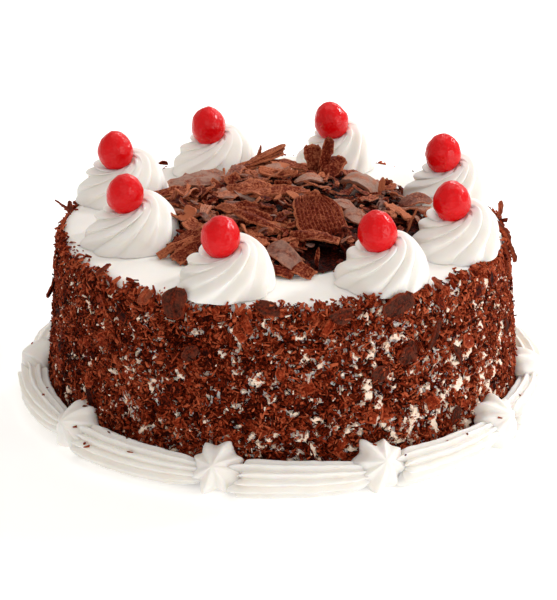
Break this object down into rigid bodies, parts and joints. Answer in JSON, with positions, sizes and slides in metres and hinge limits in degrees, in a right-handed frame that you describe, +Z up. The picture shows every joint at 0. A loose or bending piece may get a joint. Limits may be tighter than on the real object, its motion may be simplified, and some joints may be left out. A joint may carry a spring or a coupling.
{
  "type": "black forest cake",
  "caption": "Round cream-coated black forest cake with grated chocolate on its side, a heap of shavings, cherry-topped rosettes and a piped foot border.",
  "frame": {"origin": "centre of the cake's round foot, on the surface it rests on", "axes": "+Z up through the middle of the cake; -Y towards the front, between the two front rosettes; +X to the right seen from the front"},
  "size_m": [0.2437, 0.2433, 0.1104],
  "materials": {
    "grated_chocolate": "rough reddish brown grated chocolate, with white cream in its gaps and over the top",
    "shaved_chocolate": "satin dark brown chocolate shavings with a greyish sheen on their curled faces",
    "whipped_cream": "soft satin off-white whipped cream",
    "glace_cherry": "glossy bright red glace cherry"
  },
  "bodies": {
    "root": {"cake": "grated_chocolate", "shaving_heap": "shaved_chocolate", "rosette_1": "whipped_cream", "rosette_2": "whipped_cream", "rosette_3": "whipped_cream", "rosette_4": "whipped_cream", "rosette_5": "whipped_cream", "rosette_6": "whipped_cream", "rosette_7": "whipped_cream", "rosette_8": "whipped_cream", "cherry_1": "glace_cherry", "cherry_2": "glace_cherry", "cherry_3": "glace_cherry", "cherry_4": "glace_cherry", "cherry_5": "glace_cherry", "cherry_6": "glace_cherry", "cherry_7": "glace_cherry", "cherry_8": "glace_cherry", "finger_1": "whipped_cream", "finger_2": "whipped_cream", "finger_3": "whipped_cream", "finger_4": "whipped_cream", "finger_5": "whipped_cream", "finger_6": "whipped_cream", "finger_7": "whipped_cream", "finger_8": "whipped_cream", "finger_9": "whipped_cream", "finger_10": "whipped_cream", "star_1": "whipped_cream", "star_2": "whipped_cream", "star_3": "whipped_cream", "star_4": "whipped_cream", "star_5": "whipped_cream", "star_6": "whipped_cream", "star_7": "whipped_cream", "star_8": "whipped_cream", "star_9": "whipped_cream", "star_10": "whipped_cream"}
  },
  "joints": []
}
